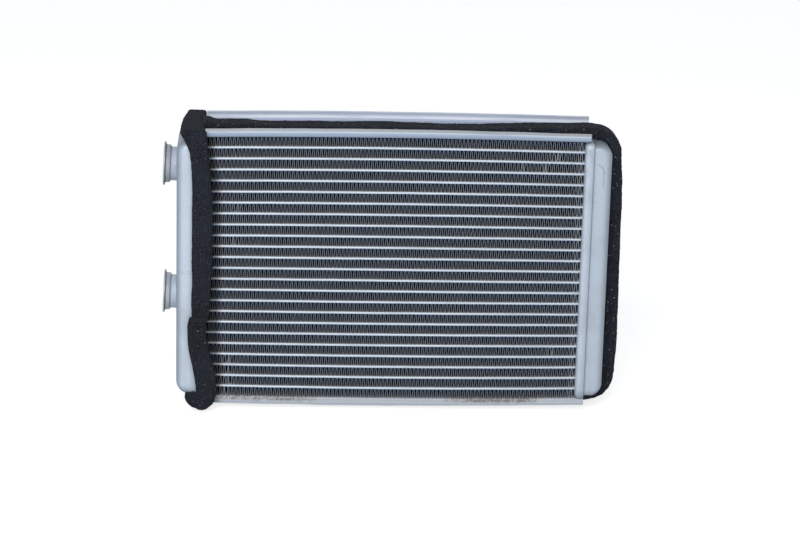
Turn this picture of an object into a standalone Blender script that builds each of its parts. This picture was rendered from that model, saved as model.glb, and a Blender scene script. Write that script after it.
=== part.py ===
"""Heater core of a vehicle: a brazed stack of flat tubes and folded fins between two tanks.

Metres, +Z up. X runs along the tubes with the two pipe stubs at -X, -Y is the front
face, and Z runs across the rows. All pieces are drawn about the middle of the stack and
hang on one empty, which lifts the core so that its lowest point is at Z = 0.
"""
import math

import bmesh
import bpy
import numpy as np
from mathutils import Matrix

# Driving dimensions of the stack of tubes and fins
tube_count = 23
tube_pitch = 0.0065
tube_thickness = 0.0015
tube_wall = 0.00035
core_depth = 0.042
core_length = 0.218            # between the two header faces
tube_reach = 0.003             # how far a tube end passes the header's outer face
core_bow = 0.00095             # how far the outermost tube bows outward at mid length
bow_spans = 2                  # straight lengths that a bowed piece is made of
fin_waves = 25                 # each modelled wave stands for three to four real ones
fin_sheet = 0.0003
clearance = 0.0003             # gap at every brazed or seated joint

# Driving dimensions of the headers, tanks and baffle
header_depth = 0.048
header_rim = 0.0057            # how far the pan's rim stands off its outer face
header_wall = 0.001
header_corner = 0.003
tank_reach = 0.0161            # from the header's outer face to the tank's end wall
tank_wall = 0.001
tank_corner = 0.007
left_tank_top_corner = 0.011
tank_edge_radius = 0.005
baffle_sheet = 0.0012
rows_above_baffle = 11

# Driving dimensions of the side plates
plate_sheet = 0.001
top_plate_front_leg = 0.005    # leg heights, with the web's thickness
top_plate_rear_leg = 0.0061
bottom_plate_leg = 0.0049
plate_tip = 0.0017             # height of the leg's tip that leans inward
plate_lean = 0.0009
top_plate_front_end = 0.0033   # past the right header's face
top_plate_rear_end = 0.0063
bottom_plate_end = 0.0054

# Driving dimensions of the pipe stubs, measured out from the tank's end wall
stub_bore_radius = 0.0088
stub_neck_radius = 0.00985
stub_band_radius = 0.011
stub_flange_radius = 0.0127
stub_length = 0.008
stub_flange_sheet = 0.001
stub_band_length = 0.0033
stub_flare = 0.0006
stub_insert = 0.0014           # how far the neck passes the tank wall's inner face
stub_tilt = math.radians(2.0)  # both stubs lean a little upward
upper_stub_drop = 0.0191       # below the tank's top
stub_spacing = 0.0771

# Driving dimensions of the foam strip in both channels and round the right tank
seal_width = 0.016
seal_channel_thickness = 0.0022
seal_over_tank = 0.0063
seal_over_end_top = 0.0068
seal_over_end_bottom = 0.0087
seal_corner = 0.017
seal_lift = 0.0018             # how far the strip's end rides up at the left seal
seal_lift_length = 0.006

# Driving dimensions of the two foam bands that fold round the left header. A reach is how
# far an edge lies out from the header's face over the tank. Each edge point is a reach,
# then a drop under the stack's top (upper band) or a rise over its bottom (lower band).
band_front = 0.003
band_top = 0.0059
lower_band_front = 0.0042
lower_band_bottom = 0.0095
lower_band_height = 0.0475     # of the joint between the bands, over the stack's bottom
band_gap = 0.0006              # between a band and the end of a side plate or strip
upper_band_crown_reaches = (-0.0009, 0.0134)
upper_band_outer_edge = ((0.0124, -0.0012), (0.0088, 0.0072), (0.0075, 0.0192))
upper_band_foot_reaches = (0.0071, -0.0028)
upper_band_inner_edge = ((-0.0048, 0.0712), (-0.0045, 0.0332), (-0.0018, 0.0028))
lower_band_head_reaches = (-0.0015, 0.0093)
lower_band_outer_edge = ((0.009, 0.0326), (0.0051, 0.0112), (0.0039, 0.0))
lower_band_bowl = ((0.011, 0.0), (0.0093, -0.0038), (0.0065, -0.0076), (0.002, -0.0095),
                   (-0.0015, -0.0086), (-0.0055, -0.0036))
lower_band_inner_edge = ((-0.0076, 0.0028), (-0.0068, 0.0168), (-0.0035, 0.0294), (-0.0012, 0.0388))

# How finely round pieces are drawn
stub_sides = 20
header_corner_steps = 3
tank_corner_steps = 4
tank_edge_steps = 3
seal_inner_steps = 3
seal_outer_steps = 5
smooth_below = 40              # degrees between faces that are shaded as one

# Sizes worked out from the driving dimensions
tube_half = tube_thickness / 2
top_tube_height = (tube_count - 1) / 2 * tube_pitch
fin_height = tube_pitch - tube_thickness
stack_half = top_tube_height + tube_half + fin_height
face_x = core_length / 2
tube_end_x = face_x + tube_reach
header_half_depth = header_depth / 2
header_half_height = stack_half - clearance
tank_half_depth = header_half_depth - header_wall - clearance
tank_half_height = header_half_height - header_wall - clearance
tank_mouth_x = face_x + header_wall + clearance
tank_end_x = face_x + tank_reach
upper_stub_height = tank_half_height - upper_stub_drop
lower_stub_height = upper_stub_height - stub_spacing
band_inner_y = header_half_depth + clearance
band_inner_z = header_half_height + clearance
band_joint_height = lower_band_height - stack_half
bottom_z = -(band_inner_z + lower_band_bottom)
stub_tip_x = tank_end_x + stub_length * math.cos(stub_tilt) + stub_flange_radius * math.sin(stub_tilt)
seal_right_x = tank_end_x + clearance + seal_over_end_bottom

# Share of the bow at the stations where bowed pieces have a joint between two spans
bow_stations = np.linspace(-face_x, face_x, bow_spans + 1)
bow_shares = 1 - (bow_stations / face_x) ** 2


def bowed(x, z):
    """Height z after the stack's bow: it grows with z, and is nil at both headers."""
    return z * (1 + core_bow / top_tube_height * float(np.interp(x, bow_stations, bow_shares)))


def material(name, colour, roughness, metallic):
    """One Principled material with a plain colour."""
    made = bpy.data.materials.new(name)
    made.use_nodes = True
    shader = made.node_tree.nodes["Principled BSDF"]
    shader.inputs["Base Color"].default_value = (*colour, 1)
    shader.inputs["Roughness"].default_value = roughness
    shader.inputs["Metallic"].default_value = metallic
    made.diffuse_color = (*colour, 1)
    return made


def place(name, bm, finish, smooth=False):
    """Turn a bmesh into a named object under the core's empty."""
    bmesh.ops.recalc_face_normals(bm, faces=bm.faces)
    mesh = bpy.data.meshes.new(name)
    bm.to_mesh(mesh)
    bm.free()
    if smooth:
        mesh.shade_smooth()
        mesh.set_sharp_from_angle(angle=math.radians(smooth_below))
    mesh.materials.append(finish)
    made = bpy.data.objects.new(name, mesh)
    bpy.context.collection.objects.link(made)
    made.parent = core_frame
    return made


def thicken(piece, sheet, offset):
    """Give an open sheet its wall; offset -1 is inward, 0 is to both sides."""
    wall = piece.modifiers.new("sheet", "SOLIDIFY")
    wall.thickness = sheet
    wall.offset = offset
    wall.use_even_offset = True
    return piece


def cut(piece, cutter):
    """Take the cutter's volume out of the piece."""
    cutter.hide_render = True
    cutter.display_type = "WIRE"
    hole = piece.modifiers.new("cut", "BOOLEAN")
    hole.operation = "DIFFERENCE"
    hole.solver = "EXACT"
    hole.object = cutter


def arc(centre_x, centre_z, radius, start, end, steps):
    """Points of an arc in the XZ plane; angles in degrees from +X towards +Z."""
    turns = np.radians(np.linspace(start, end, steps + 1))
    return [(centre_x + radius * math.cos(t), centre_z + radius * math.sin(t)) for t in turns]


def loft(bm, rings, closed_path=False):
    """Skin between rings of points; an open path keeps its two ends open."""
    rows = [[bm.verts.new(point) for point in ring] for ring in rings]
    pairs = list(zip(rows, rows[1:]))
    if closed_path:
        pairs.append((rows[-1], rows[0]))
    for first, second in pairs:
        for i in range(len(first)):
            j = (i + 1) % len(first)
            bm.faces.new((first[i], first[j], second[j], second[i]))
    return rows


def capped_loft(bm, rings):
    """A loft with a flat cap at each end, such as a prism."""
    rows = loft(bm, rings)
    bm.faces.new(rows[0][::-1])
    bm.faces.new(rows[-1])


def deep_prism(bm, outline, half_depth):
    """Closed prism: an outline in the XZ plane, carried through the core's depth."""
    capped_loft(bm, [[(x, y, z) for x, z in outline] for y in (-half_depth, half_depth)])


def tube_section(half_depth, half_thickness):
    """Flat tube outline in the YZ plane: two flats with pointed round noses."""
    flat = half_depth - half_thickness
    return [(-flat, half_thickness), (flat, half_thickness), (half_depth, 0),
            (flat, -half_thickness), (-flat, -half_thickness), (-half_depth, 0)]


def flat_tube(name, height):
    """One flat tube, open at both ends, bowed with the stack."""
    stations = [-tube_end_x, *bow_stations[1:-1], tube_end_x]
    bm = bmesh.new()
    skins = []
    for inset in (0, tube_wall):
        section = tube_section(core_depth / 2 - inset, tube_half - inset)
        skins.append(loft(bm, [[(x, y, bowed(x, height) + z) for y, z in section] for x in stations]))
    outer, inner = skins
    for end in (0, -1):
        for i in range(len(outer[end])):
            j = (i + 1) % len(outer[end])
            bm.faces.new((outer[end][i], outer[end][j], inner[end][j], inner[end][i]))
    place(name, bm, aluminium, smooth=True)


def folded_fin(name, height):
    """One fin row: a thin sheet folded up and down between two tubes."""
    half_length = face_x - clearance - fin_sheet
    reach = fin_height / 2 - clearance - fin_sheet
    bm = bmesh.new()
    lines = []
    for i, x in enumerate(np.linspace(-half_length, half_length, 2 * fin_waves + 1)):
        z = bowed(x, height) + (reach if i % 2 else -reach)
        lines.append([bm.verts.new((x, y, z)) for y in (-core_depth / 2, core_depth / 2)])
    for (a, b), (c, d) in zip(lines, lines[1:]):
        bm.faces.new((a, c, d, b))
    thicken(place(name, bm, fin_aluminium), fin_sheet, 0)


def header_pan(name, side):
    """A pressed header plate: a shallow pan with one slot for each tube."""
    half_y = header_half_depth - header_corner
    half_z = header_half_height - header_corner
    outline = []
    for sign_y, sign_z, start in ((1, 1, 0), (-1, 1, 90), (-1, -1, 180), (1, -1, 270)):
        outline += arc(sign_y * half_y, sign_z * half_z, header_corner, start, start + 90,
                       header_corner_steps)
    bm = bmesh.new()
    rows = loft(bm, [[(side * x, y, z) for y, z in outline] for x in (face_x, face_x + header_rim)])
    bm.faces.new(rows[0][::-1])
    pan = thicken(place(name, bm, aluminium), header_wall, -1)
    slot = tube_section(core_depth / 2 + clearance, tube_half + clearance)
    bm = bmesh.new()
    for row in range(tube_count):
        height = top_tube_height - row * tube_pitch
        ends = (side * (face_x - header_wall), side * (face_x + 2 * header_wall))
        capped_loft(bm, [[(x, y, height + z) for y, z in slot] for x in ends])
    cut(pan, place(name + "_slots", bm, aluminium))


def tank_shell(name, side, top_corner):
    """A pressed tank: the front outline carried through the depth, its long edges rounded."""
    outline = [(tank_mouth_x, -tank_half_height)]
    for corner, level, start in ((tank_corner, -1, -90), (top_corner, 1, 0)):
        centre_z = level * (tank_half_height - corner)
        outline += arc(tank_end_x - corner, centre_z, corner, start, start + 90, tank_corner_steps)
    outline.append((tank_mouth_x, tank_half_height))
    bm = bmesh.new()
    deep_prism(bm, [(side * x, z) for x, z in outline], tank_half_depth)
    mouth = [f for f in bm.faces if all(abs(abs(v.co.x) - tank_mouth_x) < 1e-6 for v in f.verts)]
    bmesh.ops.delete(bm, geom=mouth, context="FACES_ONLY")
    long_edges = [e for e in bm.edges if e.verts[0].co.y == e.verts[1].co.y and not e.is_boundary]
    bmesh.ops.bevel(bm, geom=long_edges, offset=tank_edge_radius, segments=tank_edge_steps, profile=0.5,
                    affect="EDGES", clamp_overlap=True)
    return thicken(place(name, bm, aluminium, smooth=True), tank_wall, -1)


def stub_seat(height):
    """Where a stub sits: on the left tank's end wall, its axis out and slightly up."""
    return Matrix.Translation((-tank_end_x, 0, height)) @ Matrix.Rotation(stub_tilt, 4, "Y")


def pipe_stub(name, height):
    """A turned pipe stub: neck, flared band and thin end flange, bored through."""
    inner_end = -(tank_wall + stub_insert)
    flange_start = stub_length - stub_flange_sheet
    band_start = flange_start - stub_band_length
    profile = [
        (inner_end, stub_bore_radius), (inner_end, stub_neck_radius),
        (band_start, stub_neck_radius),
        (band_start + stub_flare, stub_neck_radius + stub_flare),
        (flange_start - stub_flare, stub_band_radius),
        (flange_start, stub_flange_radius), (stub_length, stub_flange_radius),
        (stub_length, stub_bore_radius)]
    turns = np.linspace(0, 2 * math.pi, stub_sides, endpoint=False)
    bm = bmesh.new()
    loft(bm, [[(-x, r * math.cos(t), r * math.sin(t)) for x, r in profile] for t in turns], closed_path=True)
    place(name, bm, aluminium, smooth=True).matrix_local = stub_seat(height)


def stub_hole(name, height):
    """Cutter for the tank's hole, a clearance wider than the stub's neck."""
    radius = stub_neck_radius + clearance
    bm = bmesh.new()
    bmesh.ops.create_cone(bm, cap_ends=True, segments=stub_sides, radius1=radius, radius2=radius,
                          depth=6 * tank_wall, matrix=Matrix.Rotation(math.pi / 2, 4, "Y"))
    cutter = place(name, bm, aluminium)
    cutter.matrix_local = stub_seat(height)
    return cutter


def tank_baffle(name):
    """The plate inside the left tank that turns the flow round through the other rows."""
    height = top_tube_height - (rows_above_baffle - 0.5) * tube_pitch
    half_depth = tank_half_depth - tank_wall - clearance
    corner = tank_edge_radius - tank_wall
    near_x = face_x + header_wall + clearance
    far_x = tank_end_x - tank_wall - clearance
    outline = [(near_x, -half_depth)]
    outline += arc(far_x - corner, corner - half_depth, corner, -90, 0, tank_edge_steps)
    outline += arc(far_x - corner, half_depth - corner, corner, 0, 90, tank_edge_steps)
    outline.append((near_x, half_depth))
    levels = (height - baffle_sheet / 2, height + baffle_sheet / 2)
    bm = bmesh.new()
    capped_loft(bm, [[(-x, y, z) for x, y in outline] for z in levels])
    place(name, bm, aluminium)


def side_plate(name, side, front_leg, rear_leg, front_end, rear_end):
    """A folded channel over the outermost fins, its legs out and their tips leaning in."""
    half = core_depth / 2 - plate_sheet / 2
    web = stack_half + plate_sheet / 2
    front_tip = stack_half + front_leg
    rear_tip = stack_half + rear_leg
    section = [(plate_lean - half, front_tip), (-half, front_tip - plate_tip), (-half, web),
               (half, web), (half, rear_tip - plate_tip), (half - plate_lean, rear_tip)]
    slant = (rear_end - front_end) / (2 * half)
    rows = [[(x, y, z) for y, z in section] for x in (clearance - face_x, *bow_stations[1:-1])]
    rows.append([(face_x + front_end + slant * (y + half), y, z) for y, z in section])
    bm = bmesh.new()
    rows = [[bm.verts.new((x, y, bowed(x, side * z))) for x, y, z in row] for row in rows]
    for first, second in zip(rows, rows[1:]):
        for i in range(len(section) - 1):
            bm.faces.new((first[i], first[i + 1], second[i + 1], second[i]))
    thicken(place(name, bm, aluminium), plate_sheet, 0)


def perimeter_seal(name):
    """Foam strip: along the top channel, round the right tank and back in the bottom one."""
    web_out = stack_half + plate_sheet + clearance
    strip_out = web_out + seal_channel_thickness
    tank_top = tank_half_height + clearance
    tank_side = tank_end_x + clearance
    tank_round = tank_corner + clearance
    end_out = tank_top + seal_over_tank
    side_out = tank_side + seal_over_end_top
    start = band_gap - face_x
    spans = list(bow_stations[1:-1])
    plate_stop = face_x + max(top_plate_rear_end, bottom_plate_end) + clearance
    inner = [(x, web_out) for x in (start, *spans, face_x, plate_stop)] + [(plate_stop, tank_top)]
    inner += arc(tank_side - tank_round, tank_top - tank_round, tank_round, 90, 0, seal_inner_steps)
    inner += arc(tank_side - tank_round, tank_round - tank_top, tank_round, 0, -90, seal_inner_steps)
    inner += [(plate_stop, -tank_top)] + [(x, -web_out) for x in (plate_stop, face_x, *spans[::-1], start)]
    outer = [(x, -strip_out) for x in (start, *spans)] + [(plate_stop, -end_out)]
    outer += arc(seal_right_x - seal_corner, seal_corner - end_out, seal_corner, -90, 0, seal_outer_steps)
    outer += arc(side_out - seal_corner, end_out - seal_corner, seal_corner, 0, 90, seal_outer_steps)
    outer += [(plate_stop, end_out)] + [(x, strip_out) for x in (*spans[::-1], start + seal_lift_length)]
    outer += [(start + seal_lift_length / 2, strip_out + seal_lift), (start, strip_out + seal_lift)]
    bm = bmesh.new()
    deep_prism(bm, [(x, bowed(x, z)) for x, z in inner + outer], seal_width / 2)
    place(name, bm, foam, smooth=True)


def header_band(name, outline, half_depth, side):
    """A foam band folded round the left header, with room cut in it where the core stands."""
    bm = bmesh.new()
    deep_prism(bm, outline, half_depth)
    band = place(name, bm, foam, smooth=True)
    plate_side = clearance - face_x - band_gap
    beyond = 2 * (tank_end_x + stack_half)
    room = [(-beyond, -side * beyond), (-beyond, side * band_inner_z), (plate_side, side * band_inner_z),
            (plate_side, side * beyond), (beyond, side * beyond), (beyond, -side * beyond)]
    bm = bmesh.new()
    deep_prism(bm, room, band_inner_y)
    cut(band, place(name + "_room", bm, foam))


def upper_band_outline():
    """Front view of the upper band: widest over the tank's top, then straight down."""
    top = band_inner_z + band_top
    end = band_joint_height + clearance / 2
    crown = [(-face_x - reach, top) for reach in upper_band_crown_reaches]
    outer = [(-face_x - reach, stack_half - drop) for reach, drop in upper_band_outer_edge]
    foot = [(-face_x - reach, end) for reach in upper_band_foot_reaches]
    inner = [(-face_x - reach, stack_half - drop) for reach, drop in upper_band_inner_edge]
    return crown + outer + foot + inner


def lower_band_outline():
    """Front view of the lower band: it slants inward and folds under the bottom."""
    start = band_joint_height - clearance / 2
    head = [(-face_x - reach, start) for reach in lower_band_head_reaches]
    edge = lower_band_outer_edge + lower_band_bowl + lower_band_inner_edge
    return head + [(-face_x - reach, rise - stack_half) for reach, rise in edge]


for old in list(bpy.data.objects):
    bpy.data.objects.remove(old)

core_frame = bpy.data.objects.new("core_frame", None)
bpy.context.collection.objects.link(core_frame)
core_frame.location = ((stub_tip_x - seal_right_x) / 2, 0, -bottom_z)

aluminium = material("aluminium", (0.62, 0.66, 0.71), 0.42, 0.85)
fin_aluminium = material("fin_aluminium", (0.42, 0.46, 0.51), 0.45, 0.85)
foam = material("foam", (0.022, 0.026, 0.034), 0.95, 0.0)

for row in range(tube_count):
    flat_tube(f"tube_{row + 1:02d}", top_tube_height - row * tube_pitch)

for row in range(tube_count + 1):
    folded_fin(f"fin_{row + 1:02d}", top_tube_height + (0.5 - row) * tube_pitch)

header_pan("left_header", -1)
header_pan("right_header", 1)

left_tank = tank_shell("left_tank", -1, left_tank_top_corner)
cut(left_tank, stub_hole("upper_stub_hole", upper_stub_height))
cut(left_tank, stub_hole("lower_stub_hole", lower_stub_height))
tank_shell("right_tank", 1, tank_corner)
pipe_stub("upper_stub", upper_stub_height)
pipe_stub("lower_stub", lower_stub_height)
tank_baffle("tank_baffle")

side_plate("top_side_plate", 1, top_plate_front_leg, top_plate_rear_leg, top_plate_front_end,
           top_plate_rear_end)
side_plate("bottom_side_plate", -1, bottom_plate_leg, bottom_plate_leg, bottom_plate_end, bottom_plate_end)

perimeter_seal("perimeter_seal")
header_band("left_seal_upper", upper_band_outline(), band_inner_y + band_front, 1)
header_band("left_seal_lower", lower_band_outline(), band_inner_y + lower_band_front, -1)
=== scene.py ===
"""Looks of a vehicle's heater core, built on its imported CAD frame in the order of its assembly.

Metres, +Z up. X runs along the tubes with the pipe stubs at -X, and -Y is the front face.
Shapes are worked out in core coordinates, from the middle of the stack of tubes.
"""

import math

import bmesh
import bpy
import numpy as np
from mathutils import Matrix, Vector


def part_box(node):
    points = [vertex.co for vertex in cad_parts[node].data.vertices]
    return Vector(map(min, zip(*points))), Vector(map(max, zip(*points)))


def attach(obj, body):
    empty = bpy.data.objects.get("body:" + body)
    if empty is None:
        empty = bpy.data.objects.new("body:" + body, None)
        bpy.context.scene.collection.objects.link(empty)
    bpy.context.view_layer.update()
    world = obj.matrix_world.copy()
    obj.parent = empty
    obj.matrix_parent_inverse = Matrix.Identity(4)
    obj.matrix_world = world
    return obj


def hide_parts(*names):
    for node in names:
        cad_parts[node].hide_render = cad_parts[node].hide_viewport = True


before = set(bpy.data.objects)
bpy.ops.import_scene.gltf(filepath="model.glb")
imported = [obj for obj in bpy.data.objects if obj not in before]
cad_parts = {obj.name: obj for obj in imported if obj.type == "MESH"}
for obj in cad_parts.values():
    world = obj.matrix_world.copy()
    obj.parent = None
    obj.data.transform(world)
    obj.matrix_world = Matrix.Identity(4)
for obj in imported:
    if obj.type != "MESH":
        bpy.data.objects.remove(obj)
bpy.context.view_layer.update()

# Camera
# It looks at the front from a little above and to the right of the stubs, as the photograph does.
# A long lens, fitted to the rows of tubes, keeps the far edges nearly as large as the near ones.
camera_place = (-0.07695, -1.53652, 0.53381)
camera_pitch = math.radians(16.336)
camera_yaw = math.radians(3.055)
camera_roll = math.radians(1.525)


def placed(name, data):
    """A new object with the given data, in the scene."""
    made = bpy.data.objects.new(name, data)
    bpy.context.collection.objects.link(made)
    return made


camera = placed("camera", bpy.data.cameras.new("camera"))
camera.data.sensor_width = 36
camera.data.lens = 122.85
camera.data.clip_end = 20
turn = Matrix.Rotation(-camera_yaw, 4, "Z") @ Matrix.Rotation(math.pi / 2 - camera_pitch, 4, "X")
camera.matrix_world = Matrix.Translation(camera_place) @ turn @ Matrix.Rotation(camera_roll, 4, "Z")
bpy.context.scene.camera = camera
bpy.context.scene.view_settings.view_transform = "Standard"

# Flat tubes
# Each is rolled from clad aluminium strip to a flat tube with round noses, open at both ends.
# The fixture that holds the stack while it is brazed leaves the outer tubes bowed a little outward.
tube_count = 23
tube_pitch = 0.0065
tube_half_thickness = 0.00075
tube_half_depth = 0.021
tube_wall = 0.00035
tube_end = 0.112
tube_stations = 41
nose_steps = 6
tube_ripple = 0.00005
header_face = 0.109
stack_bow = 0.00095
top_tube = (tube_count - 1) / 2 * tube_pitch
middle_low, middle_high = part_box("tube_12")
core_centre = np.array((middle_low + middle_high) / 2)


class Field:
    """A number that varies over a surface: maths on it adds Math nodes to its board."""

    def __init__(self, board, socket):
        self.board = board
        self.socket = socket

    def maths(self, operation, first, second):
        made = self.board.node("ShaderNodeMath", {"operation": operation}, {0: first, 1: second})
        return Field(self.board, made.outputs[0])

    def __add__(self, other):
        return self.maths("ADD", self, other)

    def __radd__(self, other):
        return self.maths("ADD", other, self)

    def __sub__(self, other):
        return self.maths("SUBTRACT", self, other)

    def __rsub__(self, other):
        return self.maths("SUBTRACT", other, self)

    def __mul__(self, other):
        return self.maths("MULTIPLY", self, other)

    def __truediv__(self, other):
        return self.maths("DIVIDE", self, other)

    def size(self):
        return self.maths("ABSOLUTE", self, 0)

    def root(self):
        return self.maths("SQRT", self, 0)

    def wrapped(self, period):
        """How far it is into its period, from 0 to 1."""
        return self.maths("FLOORED_MODULO", self / period, 1)

    def step(self, low, high):
        """0 below low and 1 above high, with a smooth rise between them."""
        made = self.board.node("ShaderNodeMapRange", {"interpolation_type": "SMOOTHSTEP"},
                               {"Value": self, "From Min": low, "From Max": high})
        return Field(self.board, made.outputs["Result"])

    def band(self, low, high, ease):
        """1 between low and high and 0 outside, with smooth slopes of the given width."""
        return self.step(low - ease, low) * (1 - self.step(high, high + ease))


class Board:
    """The nodes of one material or world, added one at a time."""

    def __init__(self, tree):
        self.tree = tree

    def node(self, kind, settings=None, sockets=None):
        """A new node: first its settings, with a ramp's stops among them, then its sockets."""
        made = self.tree.nodes.new(kind)
        for name, value in (settings or {}).items():
            if name == "stops":
                self.set_stops(made.color_ramp, value)
            else:
                setattr(made, name, value)
        for name, value in (sockets or {}).items():
            self.feed(made.inputs[name], value)
        return made

    def set_stops(self, ramp, stops):
        """Give a colour ramp its (place, grey level) stops, in rising order."""
        while len(ramp.elements) < len(stops):
            ramp.elements.new(1.0)
        for element, (place, level) in zip(ramp.elements, stops):
            element.position = place
            element.color = (level, level, level, 1)

    def feed(self, socket, value):
        """Link a socket to a field or an output, or set it to a plain value."""
        source = value.socket if isinstance(value, Field) else value
        if isinstance(source, bpy.types.NodeSocket):
            self.tree.links.new(source, socket)
        else:
            socket.default_value = source


class Finish(Board):
    """A procedural material on Object coordinates, with its Principled shader."""

    def __init__(self, name, colour, roughness, metallic=0.0):
        self.material = bpy.data.materials.new(name)
        self.material.use_nodes = True
        super().__init__(self.material.node_tree)
        self.shader = self.tree.nodes["Principled BSDF"]
        self.coordinates = self.node("ShaderNodeTexCoord").outputs["Object"]
        self.give("Base Color", (*colour, 1))
        self.give("Roughness", roughness)
        self.give("Metallic", metallic)

    def give(self, socket, value):
        self.feed(self.shader.inputs[socket], value)

    def colour(self):
        """The colour that the shader has so far."""
        return self.shader.inputs["Base Color"].links[0].from_socket

    def lay(self, mask, colour):
        """Lay a colour over the one that the shader has so far, as far as the mask says."""
        self.give("Base Color", self.blend(mask, self.colour(), colour))

    def axes(self):
        """The three Object coordinates as fields, in metres."""
        made = self.node("ShaderNodeSeparateXYZ", {}, {0: self.coordinates})
        return [Field(self, output) for output in made.outputs]

    def core_axes(self, origin=(0, 0, 0)):
        """The three core coordinates as fields, in metres from a given point."""
        return [axis - start for axis, start in zip(self.axes(), core_centre + origin)]

    def noise(self, scale, detail=3.0, stretch=(1, 1, 1)):
        """Cloudy noise from 0 to 1; scale is in features per metre, stretch squeezes each axis."""
        place = self.node("ShaderNodeMapping", {}, {"Vector": self.coordinates, "Scale": stretch})
        made = self.node("ShaderNodeTexNoise", {},
                         {"Vector": place.outputs["Vector"], "Scale": scale, "Detail": detail})
        return Field(self, made.outputs["Fac"])

    def spots(self, scale, size, density):
        """Round spots: cells of 1 / scale metres, of which a share has a spot up to size wide."""
        made = self.node("ShaderNodeTexVoronoi", {}, {"Vector": self.coordinates, "Scale": scale})
        chosen = self.node("ShaderNodeSeparateColor", {}, {0: made.outputs["Color"]})
        kept = 1 - Field(self, chosen.outputs[0]).step(density, density + 0.02)
        return (1 - Field(self, made.outputs["Distance"]).step(size * 0.5, size)) * kept

    def blend(self, mask, first, second):
        """One colour where the mask is 0 and the other where it is 1."""
        colours = [(*c, 1) if isinstance(c, tuple) else c for c in (first, second)]
        made = self.node("ShaderNodeMix", {"data_type": "RGBA"},
                         {"Factor": mask, 6: colours[0], 7: colours[1]})
        return made.outputs[2]

    def attribute(self, name):
        """A number that the mesh stores at its points."""
        made = self.node("ShaderNodeAttribute", {"attribute_name": name})
        return Field(self, made.outputs["Fac"])

    def bump(self, height, depth):
        """Relief from a field of heights from 0 to 1, as deep as the depth in metres."""
        made = self.node("ShaderNodeBump", {}, {"Height": height, "Distance": depth, "Strength": 1.0})
        self.give("Normal", made.outputs["Normal"])


def arc(start, end, steps):
    """The angles of an arc's points in radians, from its ends in degrees."""
    return np.radians(np.linspace(start, end, steps + 1))


def grid(x, y, z):
    """Points from three arrays of coordinates, each spread to the shape of all three."""
    return np.stack(np.broadcast_arrays(x, y, z), -1)


def grid_faces(rows, columns, round_rows, round_columns):
    """Quads of a grid: point (i, j) is joined to its next row and column, which wrap if round."""
    i, j = np.meshgrid(np.arange(rows if round_rows else rows - 1),
                       np.arange(columns if round_columns else columns - 1), indexing="ij")
    next_i = (i + 1) % rows
    next_j = (j + 1) % columns
    corners = (i * columns + j, i * columns + next_j, next_i * columns + next_j, next_i * columns + j)
    return np.stack(corners, -1).reshape(-1, 4)


def weld(mesh):
    """Merge the points of a mesh that touch, and turn its faces outward."""
    welded = bmesh.new()
    welded.from_mesh(mesh)
    bmesh.ops.remove_doubles(welded, verts=welded.verts, dist=1e-6)
    bmesh.ops.recalc_face_normals(welded, faces=welded.faces)
    welded.to_mesh(mesh)
    welded.free()


def piece(name, sheets, finish, sharp=35, marks=None):
    """A piece from grids of points in core coordinates, welded where they meet.

    Each sheet is (points, round_rows, round_columns), and a sheet with round columns and open
    rows gets a cap at both ends. Edges of more than sharp degrees stay sharp. marks holds one
    number per point for the material to read.
    """
    places = []
    faces = []
    first = 0
    for points, round_rows, round_columns in sheets:
        rows, columns = points.shape[:2]
        faces += (grid_faces(rows, columns, round_rows, round_columns) + first).tolist()
        if round_columns == "capped":
            ring = first + np.arange(columns)
            faces += [ring[::-1].tolist(), (ring + (rows - 1) * columns).tolist()]
        places.append(points.reshape(-1, 3))
        first += rows * columns
    mesh = bpy.data.meshes.new(name)
    mesh.from_pydata((np.concatenate(places) + core_centre).tolist(), [], faces)
    for mark, values in (marks or {}).items():
        mesh.attributes.new(mark, "FLOAT", "POINT").data.foreach_set("value", values.ravel())
    weld(mesh)
    mesh.shade_smooth()
    mesh.set_sharp_from_angle(angle=math.radians(sharp))
    mesh.materials.append(finish.material)
    made = placed(name, mesh)
    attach(made, "root")
    return made


def bowed(x, z):
    """Height after the stack's bow, which grows with the height and follows a parabola along X."""
    return z * (1 + stack_bow / top_tube * np.clip(1 - (x / header_face) ** 2, 0, 1))


def wander(count, reach, seed):
    """A smooth random line from -1 to 1: a row of random numbers, averaged over its neighbours."""
    steps = np.random.default_rng(seed).normal(size=count + 2 * reach)
    line = np.convolve(steps, np.hanning(2 * reach + 1), "valid")
    return line / np.abs(line).max()


def flat_tube(height, seed):
    """Points of one tube and how much each faces up: a section with two flats and two half-round
    noses, carried along the bowed line outside and back inside, where it is less by the wall."""
    angle = np.concatenate([arc(-90, 90, nose_steps), arc(90, 270, nose_steps)])
    side = np.repeat([1, -1], nose_steps + 1)
    along = np.linspace(-tube_end, tube_end, tube_stations)
    rise = bowed(along, height) + tube_ripple * wander(tube_stations, 2, seed)
    x = np.concatenate([along, along[::-1]])[:, None]
    z = np.concatenate([rise, rise[::-1]])[:, None]
    radius = tube_half_thickness - np.repeat([0, tube_wall], tube_stations)[:, None]
    y = side * (tube_half_depth - tube_half_thickness) + np.cos(angle) * radius
    up = np.sin(angle)
    points = grid(x, y, z + up * radius)
    return points, np.broadcast_to(up, points.shape[:-1]).copy()


tube_clean = (0.52, 0.575, 0.64)
tube_dulled = (0.46, 0.51, 0.57)
tube_right_darker = (0.35, 0.39, 0.44)
tube_top_painted_light = (0.56, 0.58, 0.6)
tube_underside_painted_light = (0.62, 0.78, 1.0)
tube_foam_shadow = (0.07, 0.075, 0.085)
tube_recess_shade = (0.07, 0.08, 0.1)
recess_shade_start = 0.0005
recess_shade_full = 0.003
foam_shadow_zone = (-0.1025, -0.0975)
shadow_top_shift = 0.0035
shadow_low_shift = 0.0012


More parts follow.
